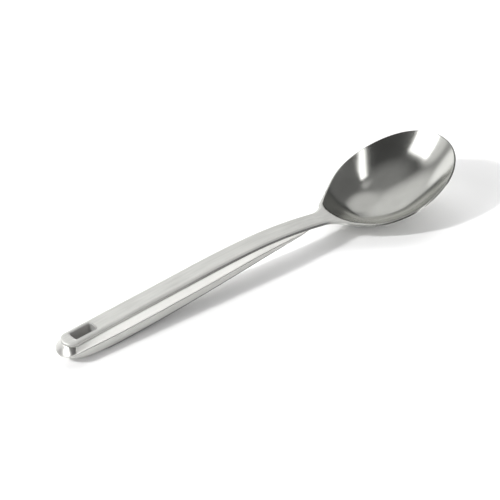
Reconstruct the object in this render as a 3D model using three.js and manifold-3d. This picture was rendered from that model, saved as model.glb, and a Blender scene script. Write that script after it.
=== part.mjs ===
// Cooking spoon: bowl, neck and top strip pressed from one sheet, over a hollow hull-shaped handle shell.
// Millimetres, +Z up, +X from the butt to the tip of the bowl. The part lies on the table at Z 0,
// on a flat pad of its keel and on the bottom of its bowl, with the origin under its middle.
import * as THREE from 'three';
import { mergeVertices } from 'three/addons/utils/BufferGeometryUtils.js';
import Module from 'manifold-3d';

const wasm = await Module();
wasm.setup();

// Spoon in plan
const overallLength = 320;
const bowlWidth = 77.2;
const bowlLength = 100; // root crease to tip
const bowlFrontLength = 48.8; // widest line to tip
const bowlFrontPower = 2.1; // 2 is an ellipse, more is blunter
const bowlRearReach = 61.6; // widest line to where the rear outline would close by itself
const shoulderBlend = 6; // how far the neck fillets reach into bowl and strip
const buttWidth = 14;
const neckWidth = 14.3;
const stripEndLength = 6.5; // length of the strip's rounded end

// Spoon from the side
const buttHeight = 13.75;
const crestHeight = 22.05;
const crestBlend = 46; // straight part of the handle to the crest
const crestRise = 1.65; // gained over that length
const neckLength = 67.5; // crest to root crease
const rootFall = 0.2; // downward slope at the root crease
const sagLength = 27.5; // root crease to where the rim climbs steadily
const sagDrop = 0.35; // lost over that length
const sagSlope = 0.335;
const tipRise = 24.2; // tip above the root crease
const tipSlope = 0.42;

// Bowl hollow and sheet
const bowlDepth = 17.6; // below the rim line, at the widest line
const bowlFullness = 2.4; // 2 is a paraboloid, more has a flatter floor
const rootWallLength = 7; // length over which the hollow opens ahead of the root crease
const shoulderBand = 3.5; // flat of each shoulder beside the hollow, at the root crease
const shoulderLength = 9; // over which that flat dies out
const stripThickness = 2.4;
const bowlThickness = 1.4;
const thinningLength = 34; // over which the sheet thins from strip to bowl, centred on the crease
const edgeRound = 0.6;

// Handle shell
const shellWall = 1;
const noseOverhang = 3.4; // nose of the shell beyond the end of the strip
const noseLength = 7.5; // length of the rounded nose at the crease
const flankFlare = 2.4; // crease beyond the edge of the strip
const flareFade = 100; // length ahead of the bow over which the flare dies out
const bowInset = 0.7; // lip inside the edge of the strip at the bow
const creaseShare = 0.31; // crease below the lip, as a share of the shell's depth
const noseCreaseShare = 0.72; // the same at the nose
const cornerCreaseShare = 0.46; // and where the round of the nose ends
const creaseSettle = 25; // from the nose to where the crease has climbed to its own share
const buttKeelWidth = 17.2;
const bowKeelWidth = 10.5;
const keelTuck = 5.5; // rearmost end of the keel, from the nose
const keelNoseLength = 7;
const keelNoseRise = 2.6;
const padStart = 20; // flat pad that rests on the table, from the nose
const padLength = 20;
const bowSetback = 16; // root crease back to the bow
const bowRound = 16;
const bowDepth = 0.5; // depth of the shell where it ends at the bow
const bowSolidLength = 20; // the two sheets lie together over this length
const cornerRound = 1;
const cornerReach = 0.4; // most of a side that a corner's rounding takes

// Hanging slot
const slotCentre = 18.4; // from the nose
const slotLength = 15.6;
const slotWidth = 7.6;
const slotCorner = 1.8;
const sleeveWall = 0.8;

// Joints
const seamGap = 0.3;
const brazeLeg = 0.9;

// Fineness of the surfaces, as counts of steps
const acrossSteps = 14;
const roundSteps = 8;
const handleSteps = 16;
const neckSteps = 12;
const rootSteps = 16;
const bowlRearSteps = 10;
const bowlFrontSteps = 16;
const shellSteps = 26;
const slotCornerSteps = 4;
const mergeDistance = 1e-4;
const slopeStep = 0.1; // distance over which slopes are measured

// Stations along the spoon, from the nose
const widestX = overallLength - bowlFrontLength;
const rootX = overallLength - bowlLength;
const crestX = rootX - neckLength;
const straightEndX = crestX - crestBlend;
const stripStartX = noseOverhang;
const bowX = rootX - bowSetback;
const handleSlope = (crestHeight - crestRise - buttHeight) / (straightEndX - stripStartX);
const bowlHalf = bowlWidth / 2;

const { clamp, lerp, smoothstep } = THREE.MathUtils;

// Height along a chain of cubic pieces through knots of station, height and slope.
function cubicChain(...knots) {
  return (x) => {
    const found = knots.findLastIndex((knot) => knot.x <= x);
    const i = clamp(found, 0, knots.length - 2);
    const [a, b] = [knots[i], knots[i + 1]];
    const span = b.x - a.x;
    const t = (x - a.x) / span;
    const ease = t * t * (3 - 2 * t);
    return lerp(a.z, b.z, ease) + span * t * (1 - t) * ((1 - t) * a.slope - t * b.slope);
  };
}

// Larger of two widths, with a fillet where they are close.
function filletedMax(a, b, blend) {
  const near = Math.max(blend - Math.abs(a - b), 0);
  return Math.max(a, b) + (near * near) / (4 * blend);
}

// Centre line of the top of strip and rim, for a given height of the root crease.
function topLineAt(rootHeight) {
  return cubicChain(
    { x: stripStartX, z: buttHeight, slope: handleSlope },
    { x: straightEndX, z: crestHeight - crestRise, slope: handleSlope },
    { x: crestX, z: crestHeight, slope: 0 },
    { x: rootX, z: rootHeight, slope: -rootFall },
    { x: rootX + sagLength, z: rootHeight - sagDrop, slope: sagSlope },
    { x: overallLength, z: rootHeight + tipRise, slope: tipSlope },
  );
}

// Half width of the strip with square ends.
function stripHalf(x) {
  return lerp(buttWidth, neckWidth, smoothstep(x, stripStartX, rootX)) / 2;
}

// Half width of the whole sheet in plan.
function outlineHalf(x) {
  if (x > widestX) {
    const u = Math.min((x - widestX) / bowlFrontLength, 1);
    return bowlHalf * (1 - u ** bowlFrontPower) ** (1 / bowlFrontPower);
  }
  const angle = Math.min(((widestX - x) / bowlRearReach) * (Math.PI / 2), Math.PI);
  const width = filletedMax(stripHalf(x), bowlHalf * Math.cos(angle), shoulderBlend);
  const end = clamp((x - stripStartX) / stripEndLength, 0, 1);
  return width * Math.sqrt(1 - (1 - end) ** 2);
}

// Depth of the bowl's hollow below the rim line, nought on the flat of the shoulders.
function hollowDepth(x, y) {
  const opening = clamp((x - rootX) / rootWallLength, 0, 1);
  const band = shoulderBand * (1 - clamp((x - rootX) / shoulderLength, 0, 1));
  const half = Math.max(outlineHalf(x) - band, 0);
  const inside = (half * half - y * y) / bowlHalf ** 2;
  if (band > 0 && inside < 0) return 0;
  const depth = bowlDepth * (1 - Math.max(1 - inside, 0) ** (bowlFullness / 2));
  return depth * (1 - (1 - opening) ** 2);
}

function sheetThickness(x) {
  const start = rootX - thinningLength / 2;
  return lerp(stripThickness, bowlThickness, smoothstep(x, start, start + thinningLength));
}

// Height of the underside of the flat strip.
function undersideHeight(x) {
  const slope = (topLine(x + slopeStep) - topLine(x - slopeStep)) / (2 * slopeStep);
  return topLine(x) - stripThickness * Math.hypot(1, slope);
}

// Evenly spaced values, from the first to the last.
function spaced(from, to, steps) {
  return Array.from({ length: steps + 1 }, (_, i) => lerp(from, to, i / steps));
}

// Stations of the sheet: close together at both round ends and round the root crease.
function sheetStations() {
  const quarter = spaced(0, Math.PI / 2, roundSteps);
  const stripEndX = stripStartX + stripEndLength;
  const rootStartX = rootX - rootWallLength / 2;
  const rootEndX = rootX + rootWallLength;
  const front = spaced(0, Math.PI / 2, bowlFrontSteps);
  return [
    ...quarter.map((angle) => stripStartX + stripEndLength * (1 - Math.cos(angle))),
    ...spaced(stripEndX, crestX, handleSteps).slice(1),
    ...spaced(crestX, rootStartX, neckSteps).slice(1),
    ...spaced(rootStartX, rootEndX, rootSteps).slice(1),
    ...spaced(rootEndX, widestX, bowlRearSteps).slice(1),
    ...front.slice(1).map((angle) => widestX + bowlFrontLength * Math.sin(angle)),
  ];
}

// Outward direction of the plan outline at a station.
function outlineNormal(x) {
  if (x <= stripStartX) return new THREE.Vector2(-1, 0);
  if (x >= overallLength) return new THREE.Vector2(1, 0);
  const step = Math.min(slopeStep, x - stripStartX, overallLength - x);
  const slope = (outlineHalf(x + step) - outlineHalf(x - step)) / (2 * step);
  return new THREE.Vector2(-slope, 1).normalize();
}

// Height of the top of the sheet, for a given centre line.
function sheetHeight(x, y, line) {
  return line(x) - hollowDepth(x, y);
}

// Upward direction of the top of the sheet.
function sheetNormal(x, y, line) {
  const height = (dx, dy) => sheetHeight(x + dx, y + dy, line);
  const ahead = Math.min(slopeStep, overallLength - x);
  const slopeX = (height(ahead, 0) - height(-slopeStep, 0)) / (ahead + slopeStep);
  const slopeY = (height(0, slopeStep) - height(0, -slopeStep)) / (2 * slopeStep);
  return new THREE.Vector3(-slopeX, -slopeY, 1).normalize();
}

// One cross section of the sheet, as a loop: top, right edge, underside, left edge.
// The middle of each edge lies on the plan outline, so the top stays inside it by the edge's rounding
// and by half of how far the sheet leans out there.
function sheetSection(x, line) {
  const half = outlineHalf(x);
  const thickness = sheetThickness(x);
  const out = outlineNormal(x);
  const rimNormal = sheetNormal(x, half, line);
  const lean = (-(rimNormal.x * out.x + rimNormal.y * out.y) * thickness) / 2;
  const inset = edgeRound + lean;
  const inX = x - inset * out.x;
  const inHalf = Math.max(half - inset * out.y, 0);
  const top = [];
  const under = [];
  for (const across of spaced(-1, 1, acrossSteps)) {
    const y = across * inHalf;
    const point = new THREE.Vector3(inX, y, sheetHeight(inX, y, line));
    top.push(point);
    under.push(point.clone().addScaledVector(sheetNormal(inX, y, line), -thickness));
  }
  const edge = (i, side) => {
    const middle = top[i].clone().lerp(under[i], 0.5);
    return new THREE.Vector3(x, side * half, middle.z);
  };
  return [...top, edge(acrossSteps, 1), ...under.toReversed(), edge(0, -1)];
}

// Height that the root crease has when the bowl touches the table.
function restingRootHeight() {
  const line = topLineAt(0);
  const bowl = sheetStations().filter((x) => x > rootX);
  const heights = bowl.flatMap((x) => sheetSection(x, line).map((point) => point.z));
  return -Math.min(...heights);
}

const topLine = topLineAt(restingRootHeight());

function solidOf(vertProperties, triangles) {
  const triVerts = new Uint32Array(triangles);
  return new wasm.Manifold(new wasm.Mesh({ numProp: 3, vertProperties, triVerts }));
}

// Closed solid from positions and triangles: shared points merged, flat triangles dropped, facing out.
function closedSolid(points, triangles) {
  const loose = new THREE.BufferGeometry().setFromPoints(points).setIndex(triangles);
  const merged = mergeVertices(loose, mergeDistance);
  const kept = [];
  for (let i = 0; i < merged.index.count; i += 3) {
    const [a, b, c] = merged.index.array.slice(i, i + 3);
    if (a !== b && b !== c && c !== a) kept.push(a, b, c);
  }
  const solid = solidOf(merged.attributes.position.array, kept);
  return solid.volume() > 0 ? solid : solidOf(merged.attributes.position.array, kept.toReversed());
}

// Solid through loops of points: the end loops are flat to a line, or the loops join in a ring.
function loft(loops, ring = false) {
  const size = loops[0].length;
  const triangles = [];
  const spans = ring ? loops.length : loops.length - 1;
  for (let i = 0; i < spans; i++) {
    const here = i * size;
    const next = ((i + 1) % loops.length) * size;
    for (let j = 0; j < size; j++) {
      const k = (j + 1) % size;
      triangles.push(here + j, here + k, next + k, here + j, next + k, next + j);
    }
  }
  return closedSolid(loops.flat(), triangles);
}

// Rounded rectangle about the slot's centre, grown by a margin.
function slotShape(margin) {
  const [length, width] = [slotLength / 2 + margin, slotWidth / 2 + margin];
  const radius = slotCorner + margin;
  const shape = new THREE.Shape();
  for (const [x, y, turn] of [[1, 1, 0], [-1, 1, 1], [-1, -1, 2], [1, -1, 3]]) {
    const start = (turn * Math.PI) / 2;
    const centre = [slotCentre + x * (length - radius), y * (width - radius)];
    shape.absarc(...centre, radius, start, start + Math.PI / 2, false);
  }
  return shape;
}

// Cutter for the slot with room for its sleeve, taller than the handle.
function slotCutter() {
  const options = { depth: 2 * crestHeight, bevelEnabled: false, curveSegments: slotCornerSteps };
  const prism = new THREE.ExtrudeGeometry(slotShape(sleeveWall + seamGap), options);
  prism.translate(0, 0, -crestHeight / 2);
  prism.deleteAttribute('normal').deleteAttribute('uv');
  const merged = mergeVertices(prism);
  return solidOf(merged.attributes.position.array, merged.index.array);
}

// Bowl, neck and strip in one sheet, cut for the slot.
function spoonBody() {
  return loft(sheetStations().map((x) => sheetSection(x, topLine))).subtract(slotCutter());
}

// How far the shell has gone from its full section to its bow.
function towardsBow(x) {
  return smoothstep(x, bowX - flareFade, bowX);
}

function lipHeight(x) {
  return undersideHeight(x) - seamGap;
}

// Keel line: rises to the nose, lies flat on its pad, then climbs straight to the bow.
function keelHeight(x) {
  const padEnd = padStart + padLength;
  if (x < padStart) return keelNoseRise * ((padStart - x) / (padStart - keelTuck)) ** 2;
  if (x < padEnd) return 0;
  return ((lipHeight(bowX) - bowDepth) * (x - padEnd)) / (bowX - padEnd);
}

// How far down the shell the crease lies: low at the nose, higher round its corner, then settled.
function creaseShareAt(x) {
  const round = 1 - (1 - clamp(x / noseLength, 0, 1)) ** 2;
  const corner = lerp(noseCreaseShare, cornerCreaseShare, round);
  return lerp(corner, creaseShare, smoothstep(x, noseLength / 2, creaseSettle));
}

// Half width of the keel, which tapers evenly from the butt to the bow.
function keelHalf(x) {
  const along = clamp((x - keelTuck) / (bowX - keelTuck), 0, 1);
  return lerp(buttKeelWidth, bowKeelWidth, along) / 2;
}

// Three lines that carry the shell: each has a start, a nose length, a half width and a height.
const shellLines = {
  lip: {
    start: stripStartX + seamGap,
    nose: stripEndLength,
    half: (x) => stripHalf(x) - seamGap - (bowInset - seamGap) * towardsBow(x),
    height: lipHeight,
  },
  crease: {
    start: 0,
    nose: noseLength,
    half: (x) => stripHalf(x) + lerp(flankFlare, -bowInset, towardsBow(x)),
    height: (x) => lerp(lipHeight(x), keelHeight(Math.max(x, keelTuck)), creaseShareAt(x)),
  },
  keel: {
    start: keelTuck,
    nose: keelNoseLength,
    half: keelHalf,
    height: keelHeight,
  },
};

// Points along a shell line on one side, from the nose round to the bow, moved in by an inset.
function linePoints(line, side, { inset = 0, end = bowX, raise = 0 } = {}) {
  const first = line.start + inset;
  const quarter = spaced(0, Math.PI / 2, roundSteps);
  const straight = spaced(first + line.nose, end - bowRound, shellSteps).slice(1, -1);
  const plan = [
    ...quarter.map((a) => ({ x: first + line.nose * (1 - Math.cos(a)), share: Math.sin(a) })),
    ...straight.map((x) => ({ x, share: 1 })),
    ...quarter.map((a) => ({ x: end - bowRound * (1 - Math.sin(a)), share: Math.cos(a) })),
  ];
  return plan.map(({ x, share }) => {
    const y = side * share * (line.half(x) - inset);
    return new THREE.Vector3(x, y, line.height(x) + raise);
  });
}

// Points that round a corner between its two neighbours.
function roundedCorner(before, corner, after) {
  const towards = (point) => {
    const way = point.clone().sub(corner);
    return corner.clone().addScaledVector(way, Math.min(cornerRound / (way.length() || 1), cornerReach));
  };
  const [from, to] = [towards(before), towards(after)];
  return [from, from.clone().lerp(to, 0.5).lerp(corner, 0.5), to];
}

// Solid hull between the three lines, moved in by a wall, and carried up past its lip by an overshoot.
function hull({ inset = 0, end = bowX, overshoot = 0 } = {}) {
  const sides = [1, -1].map((side) => ({
    cover: linePoints(shellLines.lip, side, { inset, end, raise: overshoot }),
    lip: linePoints(shellLines.lip, side, { inset, end }),
    crease: linePoints(shellLines.crease, side, { inset, end }),
    keel: linePoints(shellLines.keel, side, { inset, end, raise: inset }),
  }));
  const half = (i, near, far) => [
    near.cover[i],
    near.lip[i],
    ...roundedCorner(near.lip[i], near.crease[i], near.keel[i]),
    ...roundedCorner(near.crease[i], near.keel[i], far.keel[i]),
  ];
  const [left, right] = sides;
  const loops = left.lip.map((_, i) => [...half(i, left, right), ...half(i, right, left).toReversed()]);
  return loft(loops);
}

// Hollow shell, open under the strip and cut for the slot.
function handleShell() {
  const cavity = hull({ inset: shellWall, end: bowX - bowSolidLength, overshoot: crestHeight });
  return hull().subtract(cavity).subtract(slotCutter());
}

// Tube that lines the slot, from the top of the strip to the bottom of the keel.
function slotSleeve() {
  const outer = slotShape(sleeveWall).getPoints(slotCornerSteps);
  const inner = slotShape(0).getPoints(slotCornerSteps);
  const loops = outer.map((out, i) => [
    new THREE.Vector3(out.x, out.y, topLine(out.x)),
    new THREE.Vector3(inner[i].x, inner[i].y, topLine(inner[i].x)),
    new THREE.Vector3(inner[i].x, inner[i].y, keelHeight(inner[i].x)),
    new THREE.Vector3(out.x, out.y, keelHeight(out.x)),
  ]);
  return loft(loops, true);
}

// Fillet of filler metal all round the corner between the strip and the shell's inner wall.
function seamBraze() {
  const wallInset = shellWall + seamGap;
  const ring = (inset, drop) => {
    const options = { inset, end: bowX - bowSolidLength - inset, raise: -drop };
    const [left, right] = [1, -1].map((side) => linePoints(shellLines.lip, side, options));
    return [...left, ...right.slice(1, -1).toReversed()];
  };
  const corner = ring(wallInset, 0);
  const below = ring(wallInset, brazeLeg);
  const inward = ring(wallInset + brazeLeg, 0);
  return loft(corner.map((point, i) => [point, below[i], inward[i]]), true).subtract(slotCutter());
}

// Named mesh of a solid.
function meshOf(name, solid, material) {
  const { vertProperties, triVerts } = solid.getMesh();
  const geometry = new THREE.BufferGeometry();
  geometry.setAttribute('position', new THREE.BufferAttribute(vertProperties, 3));
  geometry.setIndex(new THREE.BufferAttribute(triVerts, 1));
  geometry.computeVertexNormals();
  const mesh = new THREE.Mesh(geometry, new THREE.MeshStandardMaterial(material));
  mesh.name = name;
  return mesh;
}

const satinSteel = { color: '#c8c7c3', roughness: 0.38, metalness: 1 };
const brushedSteel = { color: '#d2d0cb', roughness: 0.28, metalness: 1 };
const brazeMetal = { color: '#b9b3a4', roughness: 0.5, metalness: 1 };

const spoon = new THREE.Group();
spoon.position.x = -overallLength / 2;
spoon.add(
  meshOf('spoon_body', spoonBody(), satinSteel),
  meshOf('handle_shell', handleShell(), brushedSteel),
  meshOf('slot_sleeve', slotSleeve(), brushedSteel),
  meshOf('seam_braze', seamBraze(), brazeMetal),
);

export default spoon;
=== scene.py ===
"""Cooking spoon: a pressed sheet of bowl, neck and strip over a hollow, hull-shaped handle.

Metres, +Z up, +X from the butt to the tip of the bowl. Stations are measured from the nose of the
handle.
"""
import logging
import math
from dataclasses import dataclass, field, fields, replace
from enum import Enum
from types import SimpleNamespace
from typing import Any, Callable, Optional, Sequence, Union

import bpy
import numpy as np
from mathutils import Matrix, Vector


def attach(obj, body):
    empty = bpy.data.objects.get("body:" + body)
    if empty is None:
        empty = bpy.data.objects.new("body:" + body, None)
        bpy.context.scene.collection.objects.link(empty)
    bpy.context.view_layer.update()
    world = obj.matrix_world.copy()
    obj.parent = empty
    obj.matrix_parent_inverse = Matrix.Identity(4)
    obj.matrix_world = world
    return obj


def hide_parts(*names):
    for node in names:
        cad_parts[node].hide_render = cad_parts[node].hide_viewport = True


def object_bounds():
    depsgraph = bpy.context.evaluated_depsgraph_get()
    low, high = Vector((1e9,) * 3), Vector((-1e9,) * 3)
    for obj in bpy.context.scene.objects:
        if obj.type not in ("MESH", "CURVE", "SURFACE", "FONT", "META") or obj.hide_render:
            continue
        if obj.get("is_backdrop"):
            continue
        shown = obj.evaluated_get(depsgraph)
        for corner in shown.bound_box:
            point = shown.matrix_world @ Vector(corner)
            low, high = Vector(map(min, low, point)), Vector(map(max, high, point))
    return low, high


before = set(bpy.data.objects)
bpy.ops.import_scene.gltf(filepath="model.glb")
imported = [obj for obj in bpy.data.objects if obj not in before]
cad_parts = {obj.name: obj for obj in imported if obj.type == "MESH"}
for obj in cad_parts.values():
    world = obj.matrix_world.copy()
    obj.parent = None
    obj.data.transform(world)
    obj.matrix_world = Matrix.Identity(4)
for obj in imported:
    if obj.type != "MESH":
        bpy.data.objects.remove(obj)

LOG = logging.getLogger("spoon")
MM = 0.001
BODY = "root"
MERGE_DISTANCE = 0.002 * MM
SHARP_ANGLE = math.radians(38)
LEAST_LENGTH = 1e-6 * MM  # keeps a division by a length from failing
MIRROR = np.array([1, -1, 1])  # takes a point to the other side of the middle plane
HUMP_PEAK = 4 / 27  # highest value of t (1 - t) ** 2
FINE_DETAIL = 3.0
SOFT_DETAIL = 2.0
NOISE_ROUGHNESS = 0.6
RAMP_ENDS = (0.25, 0.75)

Amount = Union[float, np.ndarray, "Field"]
Points = np.ndarray
Colour = tuple[float, float, float]
PerMetre = tuple[float, float, float]
Socket = bpy.types.NodeSocket
Node = bpy.types.Node


class Field:
    """A number that a node tree works out at every point, used with plain arithmetic."""

    __array_ufunc__ = None  # leaves arithmetic with a numpy number to this class

    def __init__(self, maker: "NodeMaker", socket: Socket) -> None:
        """Keeps the maker of the tree and the socket that carries the number."""
        self.maker = maker
        self.socket = socket

    def __add__(self, other: Amount) -> "Field":
        """Sum of the two."""
        return self.maker.math("ADD", self, other)

    __radd__ = __add__

    def __sub__(self, other: Amount) -> "Field":
        """This less the other."""
        return self.maker.math("SUBTRACT", self, other)

    def __rsub__(self, other: Amount) -> "Field":
        """The other less this."""
        return self.maker.math("SUBTRACT", other, self)

    def __mul__(self, other: Amount) -> "Field":
        """Product of the two."""
        return self.maker.math("MULTIPLY", self, other)

    __rmul__ = __mul__

    def __truediv__(self, other: Amount) -> "Field":
        """This over the other."""
        return self.maker.math("DIVIDE", self, other)

    def __rtruediv__(self, other: Amount) -> "Field":
        """The other over this."""
        return self.maker.math("DIVIDE", other, self)


def worked_out(operation: str, numbers: Callable[..., Amount], *values: Amount) -> Amount:
    """Runs one operation as a Math node where a value is a field, and on plain numbers otherwise.

    Args:
        operation: The Math node's operation.
        numbers: The same operation on numbers or arrays.
        values: What the operation takes.

    Returns:
        A field, a number or an array.
    """
    for value in values:
        if isinstance(value, Field):
            return value.maker.math(operation, *values)
    return numbers(*values)


def larger(a: Amount, b: Amount) -> Amount:
    """Larger of two amounts."""
    return worked_out("MAXIMUM", np.maximum, a, b)


def smaller(a: Amount, b: Amount) -> Amount:
    """Smaller of two amounts."""
    return worked_out("MINIMUM", np.minimum, a, b)


def power(a: Amount, b: Amount) -> Amount:
    """First amount to the power of the second."""
    return worked_out("POWER", np.power, a, b)


def cosine(a: Amount) -> Amount:
    """Cosine of an angle."""
    return worked_out("COSINE", np.cos, a)


def sine(a: Amount) -> Amount:
    """Sine of an angle."""
    return worked_out("SINE", np.sin, a)


def magnitude(a: Amount) -> Amount:
    """Amount without its sign."""
    return worked_out("ABSOLUTE", np.abs, a)


def sign(a: Amount) -> Amount:
    """Minus one, nought or one."""
    return worked_out("SIGN", np.sign, a)


def whole(a: Amount) -> Amount:
    """Largest whole number that isn't above the amount."""
    return worked_out("FLOOR", np.floor, a)


def beyond(a: Amount, b: Amount) -> Amount:
    """One where the first amount is above the second, and nought elsewhere."""
    return worked_out("GREATER_THAN", lambda p, q: np.where(np.greater(p, q), 1.0, 0.0), a, b)


def between(a: Amount, b: Amount, t: Amount) -> Amount:
    """Amount at a share t of the way from a to b."""
    return a + (b - a) * t


def share(value: Amount, start: Amount, length: Amount) -> Amount:
    """How far a value has gone along a stretch, from nought to one."""
    return smaller(larger((value - start) / length, 0.0), 1.0)


def gentle(t: Amount) -> Amount:
    """Share t of a way, changed so that it leaves and arrives gently."""
    return t * t * (3.0 - 2.0 * t)


def eased(value: Amount, start: Amount, end: Amount) -> Amount:
    """Share of the way from start to end, leaving and arriving gently."""
    return gentle(share(value, start, end - start))


def linked(name: str, data: Any) -> bpy.types.Object:
    """Makes an object and links it to the scene.

    Args:
        name: The object's name.
        data: Its mesh, camera or lamp.

    Returns:
        The object.
    """
    made = bpy.data.objects.new(name, data)
    bpy.context.scene.collection.objects.link(made)
    return made


def bare_tree(owner: Union[bpy.types.Material, bpy.types.World]) -> bpy.types.NodeTree:
    """Gives a material or a room a node tree with nothing in it.

    Args:
        owner: The material or the room.

    Returns:
        Its tree.
    """
    owner.use_nodes = True
    owner.node_tree.nodes.clear()
    return owner.node_tree


def direction(azimuth: float, elevation: float) -> Vector:
    """Way of length one, by degrees from +Y towards +X and degrees above the floor."""
    a, e = math.radians(azimuth), math.radians(elevation)
    return Vector((math.sin(a) * math.cos(e), math.cos(a) * math.cos(e), math.sin(e)))


class NodeMaker:
    """Adds nodes to one tree and joins them."""

    def __init__(self, tree: bpy.types.NodeTree) -> None:
        """Keeps the tree."""
        self.tree = tree

    def node(self, kind: str, inputs: Optional[dict] = None, **settings: Any) -> Node:
        """Adds one node.

        Args:
            kind: The node's type.
            inputs: What goes into its sockets, by name or place.
            settings: The node's own properties.

        Returns:
            The new node.
        """
        made = self.tree.nodes.new(kind)
        for key, value in settings.items():
            setattr(made, key, value)
        for key, value in (inputs or {}).items():
            self.feed(self.open_socket(made.inputs, key), value)
        return made

    def result(self, kind: str, inputs: Optional[dict] = None, **settings: Any) -> Socket:
        """First output of a new node, which is described as for the node method."""
        return self.node(kind, inputs, **settings).outputs[0]

    def open_socket(self, sockets: Any, key: Union[str, int]) -> Socket:
        """Finds a socket of a node by its place, or the one in use of a name.

        Args:
            sockets: The node's inputs or outputs.
            key: Place or name of the socket.

        Returns:
            The socket.
        """
        if isinstance(key, int):
            return sockets[key]
        return next(socket for socket in sockets if socket.name == key and socket.enabled)

    def feed(self, socket: Socket, value: Any) -> None:
        """Sets a socket, or links it to a field, to another socket or to several.

        Args:
            socket: The socket that takes the value.
            value: A constant, a field, a socket or a list of sockets.
        """
        if isinstance(value, Field):
            self.tree.links.new(value.socket, socket)
        elif isinstance(value, bpy.types.NodeSocket):
            self.tree.links.new(value, socket)
        elif isinstance(value, list):
            for part in value:
                self.tree.links.new(part, socket)
        else:
            socket.default_value = value

    def math(self, operation: str, *values: Amount) -> Field:
        """Result of one Math node, as a field."""
        made = self.result("ShaderNodeMath", dict(enumerate(values)), operation=operation)
        return Field(self, made)

    def vector(self, x: Amount, y: Amount, z: Amount) -> Socket:
        """Vector of three amounts."""
        return self.result("ShaderNodeCombineXYZ", {0: x, 1: y, 2: z})

    def vector_math(self, operation: str, *values: Any) -> Socket:
        """Vector result of one Vector Math node."""
        made = self.node("ShaderNodeVectorMath", dict(enumerate(values)), operation=operation)
        return made.outputs["Vector"]

    def scaled(self, vector: Socket, amount: Amount) -> Socket:
        """Vector times an amount."""
        made = self.node("ShaderNodeVectorMath", {"Vector": vector, "Scale": amount}, operation="SCALE")
        return made.outputs["Vector"]

    def parts(self, vector: Socket) -> list[Field]:
        """Three parts of a vector, as fields."""
        return [Field(self, out) for out in self.node("ShaderNodeSeparateXYZ", {0: vector}).outputs]


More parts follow.
